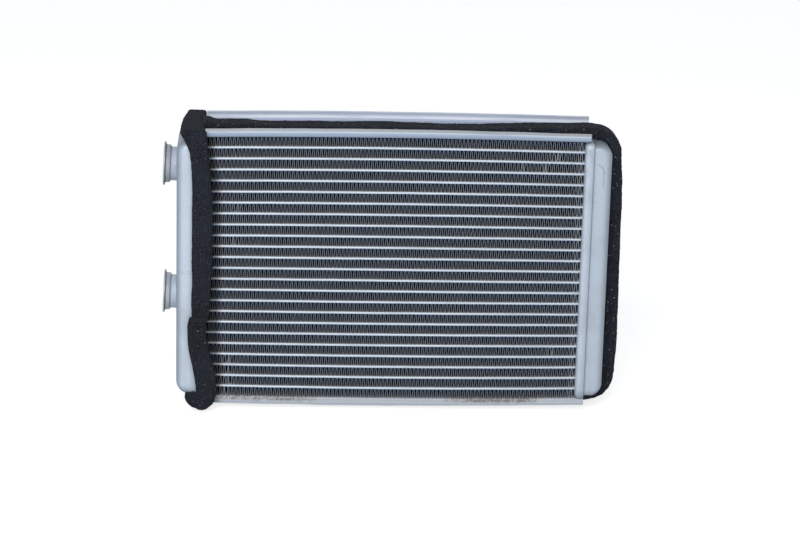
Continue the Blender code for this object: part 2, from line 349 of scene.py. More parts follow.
def in_foam_shadow(finish):
    """The painted shadow beside the upper foam band: 1 up to an edge in x that stands further left at
    the top and further right at the bottom, and 0 past it."""
    x, _, z = finish.core_axes()
    from_edge = x + z.step(0.045, 0.072) * shadow_top_shift - (0 - z).step(0.05, 0.06) * shadow_low_shift
    return 1 - from_edge.step(*foam_shadow_zone)


tube_finish = Finish("tube_aluminium", tube_clean, 0.45, 0.4)
tube_x, tube_y, _ = tube_finish.core_axes()
tube_up = tube_finish.attribute("up")
tube_dull = tube_finish.noise(220, 2, (0.25, 1, 1)).step(0.45, 0.7)
tube_finish.give("Base Color", tube_finish.blend(tube_dull, tube_clean, tube_dulled))
# The tubes turn darker towards their right end.
tube_finish.lay(tube_x.step(0.02, 0.1) * 0.3, tube_right_darker)
# Painted light: the top of the tube is tinted grey and its underside pale blue, for how light falls.
tube_finish.lay(tube_up.step(0.2, 1.0) * 0.5, tube_top_painted_light)
tube_finish.lay((0 - tube_up).step(0.0, 0.8) * 0.8, tube_underside_painted_light)
# Painted shadow of the upper foam band on the tube ends beside it.
tube_finish.lay(in_foam_shadow(tube_finish) * 0.86, tube_foam_shadow)
# Painted shade: the tube is dark back from its nose, between the fins where light hardly reaches.
tube_finish.lay((tube_half_depth - tube_y.size()).step(recess_shade_start, recess_shade_full), tube_recess_shade)
tube_finish.give("Roughness", 0.42 + tube_finish.noise(900) * 0.12)
tube_finish.bump(tube_finish.noise(700), 0.00004)
for row in range(tube_count):
    tube_points, tube_ups = flat_tube(top_tube - row * tube_pitch, row)
    tube = piece(f"flat_tube_{row + 1:02d}", [(tube_points, True, True)], tube_finish,
                 marks={"up": tube_ups})
    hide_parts(f"tube_{row + 1:02d}")

# Folded fins
# Each row is one strip of thin aluminium, folded to ninety-six waves with round crests that are
# brazed to the tubes. Their flat legs have louvres. Handling has bent the front of a few waves.
fin_waves = 96
fin_height = tube_pitch - 2 * tube_half_thickness
fin_sheet = 0.00016
fin_half_length = 0.1087
fin_half_depth = 0.0206
fin_bend_depth = 0.0035
fin_lit_depth = 0.008
crest_steps = 6
crest_height = 0.0011
crest_width = 0.43
crest_drift = 0.00002
crest_spread = 0.03
crest_clearance = 0.00003
fin_rim = 0.00018
louvre_pitch = 0.0011
worn_end = 0.004
end_scuff = 0.5
bend_glint = 0.6
bent_spots = {
    2: ((0.0929, 0.004, 0.0006),),
    3: ((0.0735, 0.002, 0.0005), (0.0867, 0.003, 0.0007)),
    7: ((-0.0909, 0.003, 0.0004),),
    10: ((-0.0919, 0.003, 0.0004),),
    20: ((0.0942, 0.002, 0.0006),),
    21: ((-0.0948, 0.003, 0.0007),),
    22: ((-0.0947, 0.002, 0.0005),),
    23: ((-0.0947, 0.003, 0.0006),),
    24: ((-0.0964, 0.002, 0.0006),)}


def fin_line(seed):
    """The folded line of a row: half waves of alternating sense, each a narrow half ellipse,
    joined by leaning legs. The crests' places and widths wander a little."""
    half_wave = fin_half_length / fin_waves
    count = 2 * fin_waves
    chance = np.random.default_rng(seed)
    middle = -fin_half_length + (np.arange(count) + 0.5) * half_wave
    middle += crest_drift * (0.6 * wander(count, 3, seed) + 0.4 * chance.normal(size=count))
    half_width = crest_width * half_wave * (1 + crest_spread * chance.normal(size=count).clip(-1.5, 1.5))
    sense = np.where(np.arange(count) % 2, -1.0, 1.0)
    turn = np.linspace(math.pi, 0, crest_steps + 1)
    reach = fin_height / 2 - fin_sheet / 2 - crest_clearance
    x = middle[:, None] + half_width[:, None] * np.cos(turn)
    z = sense[:, None] * (reach - crest_height * (1 - np.sin(turn)))
    return x.ravel(), z.ravel()


def folded_fin(row, height):
    """Points and marks of one row: the folded line, offset by half the sheet to both sides of
    itself and carried through the depth, with the front edge pushed aside at the bent spots. The
    marks are the scuffing, which at the bent spots also serves as a painted highlight, the side
    under the upper crests, and the height in the row. A bent spot is a place in X, a width and a
    push, in metres."""
    x, z = fin_line(100 + row)
    run_x = np.gradient(x)
    run_z = np.gradient(z)
    length = np.hypot(run_x, run_z)
    side_x = -run_z / length * fin_sheet / 2
    side_z = run_x / length * fin_sheet / 2
    depth = np.array([-fin_half_depth, fin_bend_depth - fin_half_depth, fin_half_depth])
    y = np.concatenate([depth, depth[::-1]])
    side = np.repeat([1, -1], len(depth))
    front = np.where(y < depth[1], 1.0, 0.0)
    places_x = x[:, None] + side * side_x[:, None]
    places_z = z[:, None] + side * side_z[:, None]
    scuffs_and_glints = end_scuff * front * (x[:, None] > fin_half_length - worn_end)
    for spot, width, push in bent_spots.get(row, ()):
        near = np.exp(-((x - spot) / width) ** 2)[:, None] * front
        lean = 1 - (z[:, None] / (fin_height / 2)) ** 2
        places_x += push * near * lean * np.sin((x[:, None] - spot) / width * 4 + row)
        scuffs_and_glints += near * bend_glint
    points = grid(places_x, y, bowed(x, height)[:, None] + places_z)
    under = np.broadcast_to(np.where(side < 0, 1.0, 0.0), scuffs_and_glints.shape)
    level = np.broadcast_to(places_z / (fin_height / 2), scuffs_and_glints.shape)
    return points, {"scuff": scuffs_and_glints, "under": under.copy(), "level": level.copy()}


fin_scuff_and_glint = (0.62, 0.65, 0.69)
fin_foam_shadow = (0.012, 0.012, 0.012)
fin_finish = Finish("fin_aluminium", (0.2, 0.215, 0.24), 0.55, 0.1)
fin_y = fin_finish.axes()[1]
# Painted shade: near black walls, lighter towards the front and on the side under the upper crests.
fin_near = fin_y.size().step(fin_half_depth - fin_lit_depth, fin_half_depth)
fin_under_shade = fin_finish.blend(fin_near, (0.006, 0.0075, 0.01), (0.02, 0.023, 0.028))
fin_over_shade = fin_finish.blend(fin_near, (0.003, 0.005, 0.012), (0.007, 0.011, 0.024))
fin_wall_shade = fin_finish.blend(fin_finish.attribute("under"), fin_over_shade, fin_under_shade)
fin_front = fin_y.size().step(fin_half_depth - fin_rim, fin_half_depth - fin_rim / 2)
fin_level = fin_finish.attribute("level").step(-0.8, 1.0)
# Painted shade: the front rim turns darker and bluer towards the top of the row, under the tube.
fin_rim_top_shade = fin_finish.blend(fin_level, (0.44, 0.45, 0.47), (0.32, 0.41, 0.58))
fin_finish.give("Base Color", fin_finish.blend(fin_front, fin_wall_shade, fin_rim_top_shade))
# Scuffing, which at the bent spots also paints the highlight of the bent sheet.
fin_finish.lay(fin_finish.attribute("scuff"), fin_scuff_and_glint)
# Painted shadow of the upper foam band on the fins beside it.
fin_finish.lay(in_foam_shadow(fin_finish) * 0.7, fin_foam_shadow)
fin_finish.give("Specular IOR Level", 0.1)
fin_finish.bump(fin_y.wrapped(louvre_pitch), 0.0003)
for row in range(1, tube_count + 2):
    fin_points, fin_marks = folded_fin(row, top_tube + (1.5 - row) * tube_pitch)
    fin = piece(f"folded_fin_{row:02d}", [(fin_points, False, "capped")], fin_finish,
                sharp=50, marks=fin_marks)
    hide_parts(f"fin_{row:02d}")

# Headers
# Each is a plate pressed to a shallow pan. One slot for each tube is pierced in its floor, and its
# rim stands away from the fins and takes the mouth of a tank. The tubes are brazed into the slots.
header_half_depth = 0.024
header_half_height = 0.07695
header_rim = 0.0051
header_wall = 0.001
pan_corner = 0.0026
pan_bend = 0.0023
slot_clearance = 0.0003
slot_nose_steps = 4
pan_corner_steps = 6
pan_bend_steps = 6
floor_half_depth = header_half_depth - pan_corner
floor_half_height = header_half_height - pan_corner


def slot_cell(row):
    """The pan's floor round one slot: from a rectangle down to the slot's outline on the outer
    face, through the wall, and back to the same rectangle on the inner face."""
    angle = arc(-90, 90, slot_nose_steps)
    radius = tube_half_thickness + slot_clearance
    nose_y = tube_half_depth - tube_half_thickness + radius * np.cos(angle)
    nose_z = radius * np.sin(angle)
    middle = top_tube - row * tube_pitch
    low, high = np.clip([middle - tube_pitch / 2, middle + tube_pitch / 2],
                        -floor_half_height, floor_half_height)
    edge_z = np.linspace(low, high, slot_nose_steps + 1)
    edge_y = np.full_like(edge_z, floor_half_depth)
    hole = np.stack([np.concatenate([nose_y, -nose_y]), middle + np.concatenate([nose_z, -nose_z])])
    edge = np.stack([np.concatenate([edge_y, -edge_y]), np.concatenate([edge_z, edge_z[::-1]])])
    y, z = np.stack([edge, hole, hole, edge], 1)
    return grid(header_face + header_wall * np.array([0, 0, 1, 1])[:, None], y, z)


def pan_rim():
    """The pan's bend and rim: the floor's rectangle pushed outward by a changing reach, with a
    quarter circle of directions at each corner, from the outer face round the lip to the inner."""
    levels = np.unique(np.concatenate([slot_cell(row)[0, :slot_nose_steps + 1, 2]
                                       for row in range(tube_count)]))
    corner = arc(0, 90, pan_corner_steps)
    half_z = np.concatenate([np.full(len(corner), -floor_half_height), levels,
                             np.full(len(corner), floor_half_height)])
    half_turn = np.concatenate([-corner[::-1], np.zeros(len(levels)), corner])
    base_y = np.concatenate([np.full(len(half_z), floor_half_depth), np.full(len(half_z), -floor_half_depth)])
    base_z = np.concatenate([half_z, half_z[::-1]])
    normal_y = np.concatenate([np.cos(half_turn), -np.cos(half_turn[::-1])])
    normal_z = np.concatenate([np.sin(half_turn), np.sin(half_turn[::-1])])
    bend = arc(0, 90, pan_bend_steps)
    lip = 2 * bend
    inner_bend = pan_bend - header_wall
    middle = pan_corner - header_wall / 2
    reach = np.concatenate([[0], pan_corner - pan_bend + pan_bend * np.sin(bend),
                            middle + header_wall / 2 * np.cos(lip),
                            pan_corner - pan_bend + inner_bend * np.sin(bend[::-1]), [0]])
    x = np.concatenate([[0], pan_bend * (1 - np.cos(bend)),
                        header_rim - header_wall / 2 * (1 - np.sin(lip)),
                        pan_bend - inner_bend * np.cos(bend[::-1]), [header_wall]])
    return grid((header_face + x)[:, None], base_y + reach[:, None] * normal_y,
                base_z + reach[:, None] * normal_z)


def mottle(finish, clean, dull):
    """Brazed aluminium's colour: clean and dull patches with fine dark pits and specks of flux."""
    patches = finish.noise(60, 4).step(0.4, 0.68)
    pits = finish.spots(420, 0.28, 0.1)
    mottled = finish.blend(patches, clean, dull)
    return finish.blend(pits * 0.35, mottled, tuple(0.6 * c for c in dull))


def painted_low_shade(finish, share):
    """Paint shade on a colour towards the core's lower end, by the given share."""
    low = (0 - finish.core_axes()[2]).step(0.0705, 0.0765)
    finish.lay(low * share, (0.1, 0.14, 0.2))


def brazed_aluminium(name, clean, dull, roughness=0.48):
    """Matt aluminium after brazing, mottled and finely rough."""
    finish = Finish(name, clean, roughness, 0.2)
    finish.give("Base Color", mottle(finish, clean, dull))
    finish.give("Roughness", roughness - 0.05 + finish.noise(500) * 0.12)
    finish.bump(finish.noise(1500, 4), 0.00005)
    return finish


pan_finish = brazed_aluminium("header_aluminium", (0.53, 0.6, 0.7), (0.46, 0.52, 0.61))
pan_x, _, pan_z = pan_finish.core_axes()
pan_finish.lay(pan_x.size().step(0.11, 0.1147) * 0.4, (0.22, 0.26, 0.32))
pan_smudges = pan_finish.noise(260, 4, (1, 1, 0.5)).step(0.42, 0.6) * pan_z.step(0.035, 0.075)
pan_finish.lay(pan_smudges * 0.35, (0.22, 0.25, 0.28))
# Painted shade towards the pan's lower end.
painted_low_shade(pan_finish, 0.5)
for side, side_name in ((-1, "left"), (1, "right")):
    pan_sheets = [(slot_cell(row) * (side, 1, 1), False, True) for row in range(tube_count)]
    pan_sheets.append((pan_rim() * (side, 1, 1), False, True))
    pan = piece(f"{side_name}_header_pan", pan_sheets, pan_finish)
    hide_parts(f"{side_name}_header")

# Baffle
# A flat plate inside the left tank, between the two stubs. It sends the coolant through the upper
# tubes and back through the lower ones. It can't be seen, and its solid stays as it is.
baffle_finish = brazed_aluminium("baffle_aluminium", (0.6, 0.65, 0.7), (0.52, 0.56, 0.6))
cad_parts["tank_baffle"].material_slots[0].material = baffle_finish.material

# Tanks
# Each is a trough pressed from aluminium sheet, with round edges and corners, and its mouth seats
# in the header's pan. The left one has a wider round at the top and two holes for the stubs.
tank_mouth = 0.1103
tank_end = 0.1251
tank_half_depth = 0.0227
tank_half_height = 0.07565
tank_wall = 0.001
tank_edge = 0.005
tank_low_edge = 0.0024
right_top_edge = 0.0028
left_low_drop = 0.0007
tank_corner = 0.007
left_top_corner = 0.0075
tank_corner_steps = 14
tank_edge_steps = 8
rub_middle = (0.1149, 0.0, 0.0602)
rub_zone = (0.005, 0.0054)
rub_tail = (-0.008, 0.0)


def tank_skin(side, top_corner, top_edge, low_drop):
    """The tank's outer skin and how round it is at each point. Its outline from the front runs from
    the mouth round both corners and back, and drops a little along the lower end. It is drawn in
    by a quarter circle towards each face, where it closes to the mouth. The circle's radius turns
    to that of the upper or lower end by the square of how far the outline faces up or down."""
    outline = [(tank_mouth, -tank_half_height, 0, -1, 0)]
    for corner, level, start, drop in ((tank_corner, -1, -90, low_drop), (top_corner, 1, 0, 0)):
        for angle in arc(start, start + 90, tank_corner_steps):
            across, up = math.cos(angle), math.sin(angle)
            outline.append((tank_end - corner + corner * across,
                            level * (tank_half_height - corner) + corner * up, across, up, drop))
    outline.append((tank_mouth, tank_half_height, 0, 1, 0))
    outline_x, outline_z, out_x, out_z, drops = np.array(outline).T[:, :, None]
    quarter = arc(0, 90, tank_edge_steps)
    drawn = np.concatenate([[1], 1 - np.cos(quarter[::-1]), 1 - np.cos(quarter), [1]])
    back = np.concatenate([[0], 1 - np.sin(quarter[::-1]), 1 - np.sin(quarter), [0]])
    face = np.repeat([-1, 1], tank_edge_steps + 2)
    closing = np.zeros(len(drawn))
    closing[[0, -1]] = 1
    edge = tank_edge + (tank_low_edge - tank_edge) * np.clip(-out_z, 0, 1) ** 2
    edge = edge + (top_edge - tank_edge) * np.clip(out_z, 0, 1) ** 2
    x = outline_x - edge * drawn * out_x
    x = x + (tank_mouth - x) * closing
    y = face * (tank_half_depth - edge * back)
    z = outline_z - edge * drawn * out_z - drops * (1 - closing)
    return grid(side * x, y, z), np.repeat(1 - drawn[None], len(x), 0)


def fix_shape(made):
    """Apply a piece's modifiers to its mesh."""
    bpy.context.view_layer.update()
    shaped = bpy.data.meshes.new_from_object(made.evaluated_get(bpy.context.evaluated_depsgraph_get()))
    made.modifiers.clear()
    made.data = shaped


def pressed_tank(name, side, top_corner, top_edge, low_drop, finish):
    """A tank: its skin with the wall laid inside it."""
    skin, roundness = tank_skin(side, top_corner, top_edge, low_drop)
    made = piece(name, [(skin, False, False)], finish, sharp=30, marks={"round": roundness})
    wall = made.modifiers.new("wall", "SOLIDIFY")
    wall.thickness = tank_wall
    wall.offset = -1
    wall.use_even_offset = True
    return made


def shaded_tank(name, clean, dull, share):
    """Brazed aluminium with painted shade: darker and bluer round the tank's edges and at its lower
    end, by the given share, and greyer at its top."""
    finish = brazed_aluminium(name, clean, dull)
    # Painted shade on the rounded edges.
    finish.lay(finish.attribute("round").step(0.2, 1.0) * share, (0.14, 0.18, 0.25))
    # Painted shade on the top rounding.
    finish.lay(finish.core_axes()[2].step(0.0715, 0.0755) * 0.45, (0.2, 0.22, 0.24))
    painted_low_shade(finish, 1.25 * share)
    return finish


# The right tank's colours are darker than the left tank's, in part as painted shade.
right_tank_finish = shaded_tank("right_tank_aluminium", (0.46, 0.53, 0.62), (0.41, 0.47, 0.55), 0.4)
rub_x, _, rub_z = right_tank_finish.core_axes(rub_middle)
rub_radius = (rub_x * rub_x + rub_z * rub_z).root()
rub_arc = rub_radius.band(*rub_zone, 0.0004) * rub_x.step(0.0, 0.003) * rub_z.step(-0.001, 0.0)
rub_line = rub_x.band(*rub_zone, 0.0004) * rub_z.band(*rub_tail, 0.001)
rub_breaks = right_tank_finish.noise(700, 3).step(0.35, 0.55)
right_tank_finish.lay((rub_arc + rub_line) * rub_breaks * 0.5, (0.16, 0.18, 0.2))
right_tank = pressed_tank("right_end_tank", 1, tank_corner, right_top_edge, 0, right_tank_finish)
fix_shape(right_tank)
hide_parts("right_tank")

# Pipe stubs
# Each is turned from aluminium: a bored neck, a wider band, and a thin end flange that the pipe's
# clamp grips. The neck passes the tank's end wall and is brazed there, leaning a little upward.
stub_heights = {"upper": 0.05655, "lower": -0.02055}
stub_bore = 0.0088
stub_neck = 0.00985
stub_band = 0.011
stub_flange = 0.0127
stub_length = 0.008
stub_foot = -0.0024
stub_tilt = math.radians(2.0)
stub_clearance = 0.0003
stub_ease = 0.00025
stub_neck_end = 0.0033
stub_band_start = 0.0046
stub_band_end = 0.0062
stub_flange_start = 0.0069
stub_step = 0.0004
stub_hole_reach = 0.004
stub_sides = 96
stub_angles = np.linspace(0, 2 * math.pi, stub_sides, endpoint=False)


def stub_point(out, radius, angle, height):
    """A point of a stub: out along its leaning axis, and round it at a radius."""
    up = radius * np.cos(angle)
    x = -tank_end - out * math.cos(stub_tilt) + up * math.sin(stub_tilt)
    z = height + out * math.sin(stub_tilt) + up * math.cos(stub_tilt)
    return grid(x, radius * np.sin(angle), z)


def turned_stub(height):
    """Points of a stub and how far out each lies: a closed profile, turned round the leaning axis.
    The steps and rims of the profile are eased with small chamfers."""
    ease = stub_ease
    profile = np.array([
        (stub_foot, stub_bore + ease), (stub_foot, stub_neck - ease), (stub_foot + ease, stub_neck),
        (stub_neck_end, stub_neck), (stub_neck_end + stub_step, stub_neck + ease),
        (stub_band_start - stub_step, stub_band - ease), (stub_band_start, stub_band),
        (stub_band_end, stub_band), (stub_band_end + stub_step, stub_band + ease),
        (stub_flange_start, stub_flange - 2 * ease), (stub_flange_start + 0.00015, stub_flange - ease / 2),
        (stub_flange_start + 0.0003, stub_flange), (stub_length - 0.0002, stub_flange),
        (stub_length - 0.00007, stub_flange - ease / 2),
        (stub_length, stub_flange - 2 * ease), (stub_length, stub_bore + 2 * ease),
        (stub_length - ease, stub_bore + ease / 2), (stub_length - 3 * ease, stub_bore),
        (stub_foot + ease, stub_bore)])
    out = np.repeat(profile[:, 0][:, None], stub_sides, 1)
    return stub_point(out, profile[:, 1][:, None], stub_angles, height), out


def stub_look(name, bright, grey):
    """Turned aluminium: a neck painted brighter as painted light, a greyer band and flange, and
    painted shade in the steps.
    """
    finish = brazed_aluminium(name, bright, grey, 0.42)
    out = finish.attribute("out")
    neck = mottle(finish, bright, tuple(0.87 * c for c in bright))
    rim = mottle(finish, grey, tuple(0.83 * c for c in grey))
    # Painted shade in the step up to the band and behind the flange.
    grime = out.band(0.0036, 0.0039, 0.0003) * 0.5 + out.band(0.0065, 0.007, 0.0003) * 0.75
    # Painted light: the neck is brighter than the band and flange.
    finish.give("Base Color", finish.blend(out.step(stub_neck_end, 0.0044), neck, rim))
    finish.lay(grime, (0.11, 0.11, 0.125))
    return finish


# Painted light: the lower stub's colours are brighter than the upper stub's.
stub_looks = {"upper": stub_look("upper_stub_aluminium", (0.61, 0.66, 0.75), (0.46, 0.49, 0.54)),
              "lower": stub_look("lower_stub_aluminium", (0.72, 0.8, 0.9), (0.6, 0.63, 0.68))}
left_tank_finish = shaded_tank("left_tank_aluminium", (0.56, 0.64, 0.74), (0.5, 0.57, 0.66), 0.6)
left_x, _, left_z = left_tank_finish.core_axes()
scuff_lines = left_tank_finish.noise(900, 3, (0.3, 1, 1)).step(0.45, 0.6)
scuff = left_x.band(-0.1222, -0.1165, 0.0006) * left_z.band(-0.0032, -0.0018, 0.0005) * scuff_lines
# Painted light: the tank is lighter towards the foam band at its right.
left_tank_finish.lay(left_x.step(-0.1205, -0.1145), (0.72, 0.81, 0.93))
left_tank_finish.lay(scuff * 0.55, (0.2, 0.21, 0.23))
left_tank = pressed_tank("left_end_tank", -1, left_top_corner, tank_edge, left_low_drop, left_tank_finish)
cutters = []
for stub_name, stub_height in stub_heights.items():
    stub_finish = stub_looks[stub_name]
    stub_points, stub_outs = turned_stub(stub_height)
    stub = piece(f"{stub_name}_pipe_stub", [(stub_points, True, True)], stub_finish,
                 marks={"out": stub_outs})
    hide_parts(f"{stub_name}_stub")
    hole_out = np.array([-stub_hole_reach, stub_hole_reach])[:, None]
    hole_points = stub_point(hole_out, stub_neck + stub_clearance, stub_angles, stub_height)
    hole = piece(f"{stub_name}_hole", [(hole_points, False, "capped")], stub_finish)
    pierced = left_tank.modifiers.new("hole", "BOOLEAN")
    pierced.operation = "DIFFERENCE"
    pierced.solver = "EXACT"
    pierced.object = hole
    cutters.append(hole)
fix_shape(left_tank)
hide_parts("left_tank")
for hole in cutters:
    bpy.data.objects.remove(hole)

# Side plates
# Each is a strip folded to a channel over the outermost row of fins. Its legs stand outward, and
# their tips lean inward along a crease. Flux and rust have stained the front of the bottom one.
plate_sheet = 0.001
plate_tip = 0.0017
plate_lean = 0.0009
top_legs = (0.005, 0.0061)
bottom_legs = (0.0049, 0.0049)
top_ends = (0.0033, 0.0063)
top_taper = 0.0002
bottom_ends = (0.0054, 0.0054)
bottom_taper = 0.0006
plate_start = -0.1087
plate_half_depth = 0.021
stack_half = 0.07725
plate_bend = 0.001
crease_bend = 0.0006
plate_bend_steps = 5
plate_stations = 90
plate_ripple = 0.00012
stain_start = -0.10872
stain_length = 0.224


def eased_path(corners, radii, steps):
    """A path through corners, each replaced by a Bezier arc that starts and ends one radius away."""
    path = [corners[0]]
    for before, corner, after, radius in zip(corners, corners[1:], corners[2:], radii):
        start = corner + (before - corner) / np.linalg.norm(before - corner) * radius
        end = corner + (after - corner) / np.linalg.norm(after - corner) * radius
        s = np.linspace(0, 1, steps + 1)[:, None]
        path += list((1 - s) ** 2 * start + 2 * s * (1 - s) * corner + s ** 2 * end)
    return np.array(path + [corners[-1]])


def side_plate(side, legs, ends, taper, seed):
    """Points and marks of a side plate: the folded section, offset by half the sheet to both sides,
    is carried along the bowed stack to an end that slants from the front to the rear, while the
    front leg gets a little shorter. The marks give each point's height as a share of its leg, and
    tell the front leg from the rear one."""
    half = plate_half_depth - plate_sheet / 2
    web = plate_sheet / 2
    front_leg, rear_leg = legs
    front_end, rear_end = ends
    corners = np.array([(plate_lean - half, front_leg), (-half, front_leg - plate_tip), (-half, web),
                        (half, web), (half, rear_leg - plate_tip), (half - plate_lean, rear_leg)])
    path = eased_path(corners, (crease_bend, plate_bend, plate_bend, crease_bend), plate_bend_steps)
    run = np.gradient(path, axis=0)
    normal = np.stack([-run[:, 1], run[:, 0]], 1) / np.linalg.norm(run, axis=1)[:, None]
    ring = np.concatenate([path + normal * plate_sheet / 2, (path - normal * plate_sheet / 2)[::-1]])
    y, height = ring.T
    end = header_face + front_end + (rear_end - front_end) * (y + half) / (2 * half)
    share = np.linspace(0, 1, plate_stations)[:, None]
    x = plate_start + (end - plate_start) * share
    ripple = np.where(y < 0, wander(plate_stations, 6, seed)[:, None],
                      wander(plate_stations, 6, seed + 1)[:, None])
    share_up = (height / np.where(y < 0, front_leg, rear_leg)).clip(0, 1)
    shortening = taper * share ** 2 * share_up ** 2 * (y < 0)
    z = bowed(x, side * (stack_half + height - shortening + plate_ripple * ripple * share_up ** 2))
    marks = {"leg_height": np.repeat(share_up[None], plate_stations, 0),
             "front": np.repeat((y[None] < 0) * 1.0, plate_stations, 0)}
    return grid(x, y, z), marks


def plate_faces(finish, tip_shading, leg, crease_highlight, low, high):
    """The channel's colour, with painted light: a duller leaning tip coloured for the light that
    falls on it, a painted highlight along the crease between two shares of the leg's height, and a
    bluish leg with painted shade towards its bend, with faint streaks along it."""
    height = finish.attribute("leg_height") + finish.noise(150, 2) * 0.04 - 0.02
    edge = height.band(low, high, 0.07) * finish.noise(60, 3, (0.3, 1, 1)).step(0.3, 0.6)
    streaks = finish.noise(120, 3, (0.15, 1, 1)).step(0.45, 0.65)
    shaded = finish.blend(height.step(0.05, 0.55), tuple(0.78 * c for c in leg), leg)
    faces = finish.blend(height.step(high - 0.04, high + 0.06), shaded, tip_shading)
    faces = finish.blend(streaks * 0.2, faces, tuple(0.8 * c for c in leg))
    return finish.blend(edge * 0.8, faces, crease_highlight)


top_finish = brazed_aluminium("top_plate_aluminium", (0.4, 0.46, 0.54), (0.36, 0.42, 0.5))
# Painted light: the front and rear legs have their own lit and shaded colours, and the rear crease a bright
# painted highlight.
top_front = plate_faces(top_finish, (0.28, 0.295, 0.31), (0.33, 0.41, 0.54), (0.46, 0.53, 0.61), 0.6, 0.7)
top_rear = plate_faces(top_finish, (0.68, 0.73, 0.82), (0.5, 0.56, 0.7), (0.9, 0.94, 1.0), 0.38, 0.58)
top_finish.give("Base Color", top_finish.blend(top_finish.attribute("front"), top_rear, top_front))

bottom_finish = brazed_aluminium("bottom_plate_aluminium", (0.42, 0.46, 0.51), (0.38, 0.42, 0.46))
# Painted highlight along the crease and painted shade towards the bend, as on the top plate.
bottom_finish.give("Base Color", plate_faces(bottom_finish, (0.46, 0.52, 0.58), (0.48, 0.51, 0.56),
                                             (0.52, 0.57, 0.65), 0.6, 0.7))
bottom_x, bottom_y, _ = bottom_finish.core_axes()
bottom_height = bottom_finish.attribute("leg_height")
stain_places = bottom_finish.node(
    "ShaderNodeValToRGB",
    {"stops": ((0.0, 0.1), (0.05, 0.8), (0.26, 0.85), (0.36, 0.4), (0.5, 0.2), (0.6, 0.35),
               (0.66, 0.85), (0.78, 1.0), (0.87, 0.85), (0.9, 0.1))},
    {"Fac": (bottom_x - stain_start) / stain_length})
stain_share = Field(bottom_finish, stain_places.outputs[0]) * (0 - bottom_y).step(0.0, 0.001)
stain_low = 1 - bottom_height.step(0.25, 1.0) * 0.6
stain_clouds = bottom_finish.noise(330, 4, (0.6, 1, 1))
rust = (stain_clouds * stain_share * stain_low * 1.6).step(0.35, 0.75)
grime = (bottom_finish.noise(700, 3) * stain_share * stain_low * 1.6).step(0.58, 0.8)
dried = (bottom_finish.noise(500, 3) * stain_share).step(0.4, 0.6)
black_specks = bottom_finish.spots(260, 0.25, 0.12) * stain_share
foam_shadow_on_plate = 1 - bottom_x.step(-0.1035, -0.097)
bottom_finish.lay(dried * 0.35, (0.6, 0.6, 0.61))
bottom_finish.lay(rust * 0.5, (0.25, 0.22, 0.2))
bottom_finish.lay(grime * 0.6, (0.075, 0.06, 0.055))
bottom_finish.lay(black_specks * 0.6, (0.05, 0.045, 0.05))
# Painted shadow of the lower foam band on the plate's left end.
bottom_finish.lay(foam_shadow_on_plate * 0.75, (0.06, 0.06, 0.065))
for side, plate_name, legs, ends, taper, finish in (
        (1, "top", top_legs, top_ends, top_taper, top_finish),
        (-1, "bottom", bottom_legs, bottom_ends, bottom_taper, bottom_finish)):
    plate_points, plate_marks = side_plate(side, legs, ends, taper, 300 + side)
    plate = piece(f"{plate_name}_channel_plate", [(plate_points, False, "capped")], finish,
                  marks=plate_marks)
    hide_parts(f"{plate_name}_side_plate")

# Foam strip
# One thick strip of black open-cell foam is stuck down in both channels and round the right tank.
# It seals the core in its case. Its skin is rough, with grains that catch the light.
foam_voxel = 0.0007
foam_grain_size = 0.0012
foam_grain = 0.00045
foam_swell_size = 0.012
foam_swell = 0.0008
strip_left_rise = 0.0012
strip_corner_push = 0.0006
strip_bottom_sag = 0.0007
strip_side_push = 0.0006
strip_shoulder_pull = 0.0006
strip_low_pull = 0.0005
strip_wave = 0.0006
strip_dip = 0.00114
strip_end_push = 0.0022
fleck_middle = (0.1231, 0.0, -0.0829)


def foam_look(name, fleck_share):
    """Black open-cell foam: near black with a blue cast, fine pores, and a few pale flecks."""
    finish = Finish(name, (0.02, 0.023, 0.03), 0.95)
    cells = finish.noise(1300, 4)
    clouds = finish.noise(90, 3).step(0.35, 0.7)
    grain_glints = finish.spots(800, 0.34, 0.09)
    flecks = finish.spots(480, 0.24, fleck_share)
    finish.give("Base Color", finish.blend(clouds, (0.009, 0.0105, 0.014), (0.015, 0.018, 0.025)))
    finish.lay(cells.step(0.4, 0.72), (0.032, 0.036, 0.048))
    # Painted glints: pale grains where the rough skin catches the light.
    finish.lay(grain_glints * 0.6, (0.12, 0.13, 0.145))
    finish.lay(flecks * 0.6, (0.33, 0.33, 0.33))
    finish.give("Specular IOR Level", 0.15)
    finish.bump(cells, 0.0003)
    return finish


def foam_piece(name, node, finish, smoothing, reshape):
    """A foam piece: the node's solid is welded and remeshed to small voxels, its points are moved by
    the reshape formula, and it is eased and roughened by two sizes of cloudy relief."""
    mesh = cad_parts[node].data.copy()
    mesh.name = name
    weld(mesh)
    made = placed(name, mesh)
    voxels = made.modifiers.new("voxels", "REMESH")
    voxels.mode = "VOXEL"
    voxels.voxel_size = foam_voxel
    voxels.use_smooth_shade = True
    fix_shape(made)
    places = np.empty(3 * len(made.data.vertices))
    made.data.vertices.foreach_get("co", places)
    x, y, z = places.reshape(-1, 3).T - core_centre[:, None]
    moved = np.stack(reshape(x, y, z), -1) + core_centre
    made.data.vertices.foreach_set("co", moved.ravel())
    easing = made.modifiers.new("easing", "SMOOTH")
    easing.factor = 0.5
    easing.iterations = smoothing
    for relief_name, size, depth in (("swell", foam_swell_size, foam_swell),
                                     ("grain", foam_grain_size, foam_grain)):
        clouds = bpy.data.textures.new(f"{name}_{relief_name}", "CLOUDS")
        clouds.noise_scale = size
        relief = made.modifiers.new(relief_name, "DISPLACE")
        relief.texture = clouds
        relief.texture_coords = "LOCAL"
        relief.strength = depth
        relief.mid_level = 0.35
    fix_shape(made)
    made.data.materials.clear()
    made.data.materials.append(finish.material)
    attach(made, "root")
    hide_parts(node)
    return made


